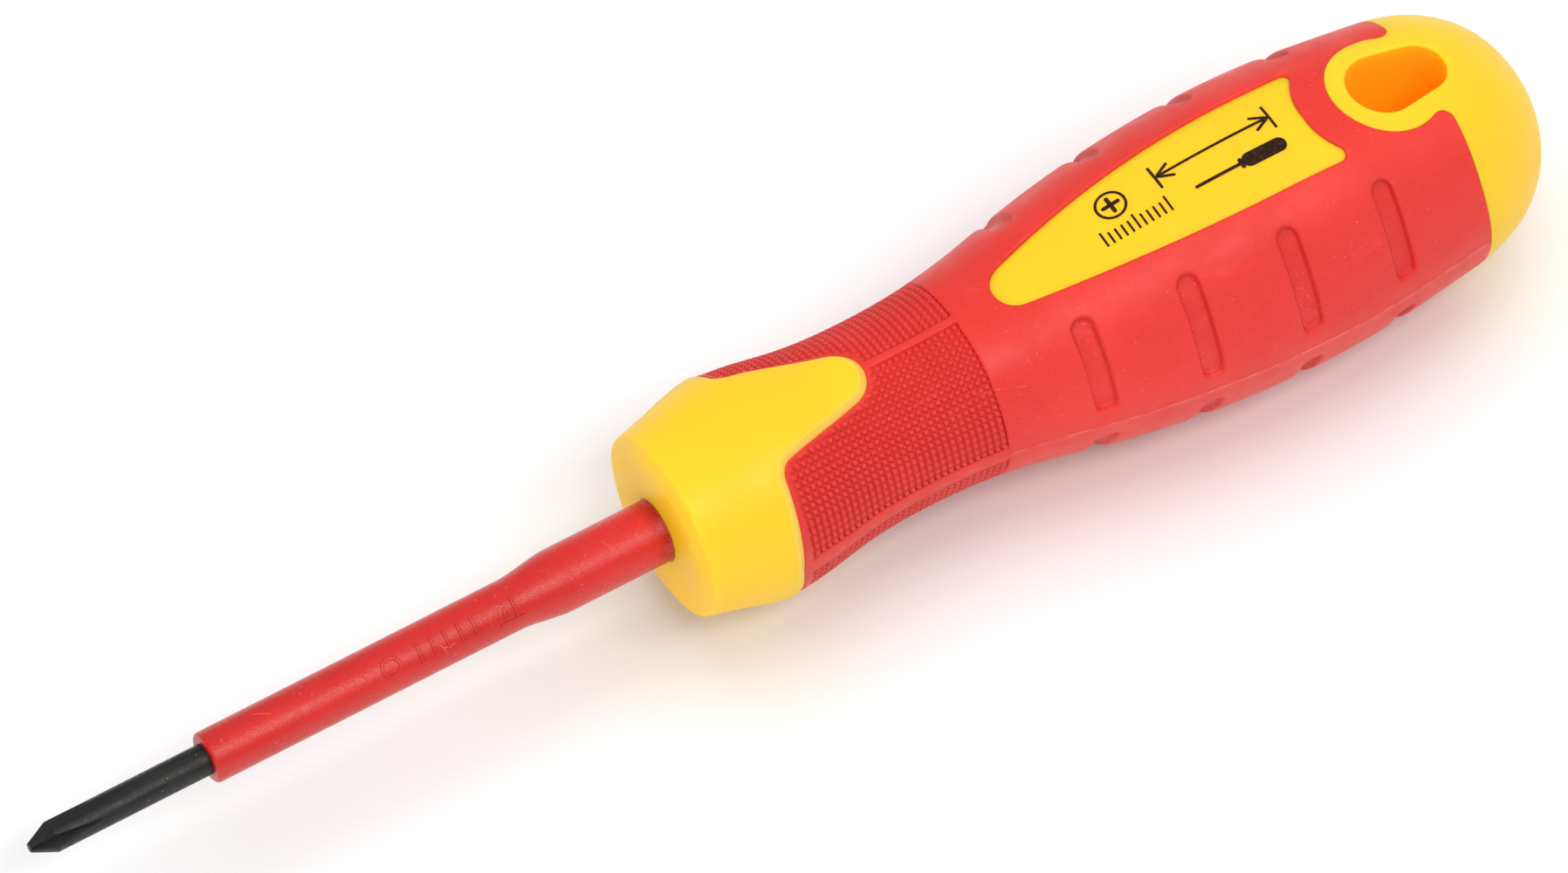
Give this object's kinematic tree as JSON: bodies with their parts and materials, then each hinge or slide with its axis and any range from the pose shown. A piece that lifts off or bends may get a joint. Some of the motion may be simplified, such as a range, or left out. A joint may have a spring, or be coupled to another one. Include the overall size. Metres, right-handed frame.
{
  "type": "insulated screwdriver",
  "caption": "Insulated crosshead screwdriver with a sleeved blade and a contoured two-colour handle with a hanging hole.",
  "frame": {"origin": "middle of the bottom of the tool's box as it lies label side up", "axes": "+X along the tool from the tip to the domed end, +Z square to the upper label, Y across the tool"},
  "size_m": [0.1446, 0.0262, 0.0252],
  "materials": {
    "blade_steel": "matte black oxide",
    "sleeve_plastic": "fine-grained satin insulation",
    "core_plastic": "as moulded, hidden",
    "body_plastic": "smooth semi-gloss hard plastic",
    "grip_rubber": "soft-touch satin"
  },
  "bodies": {
    "root": {"blade": "blade_steel", "blade_sleeve": "sleeve_plastic", "tang_core": "core_plastic", "handle_body": "body_plastic", "grip": "grip_rubber"}
  },
  "joints": []
}
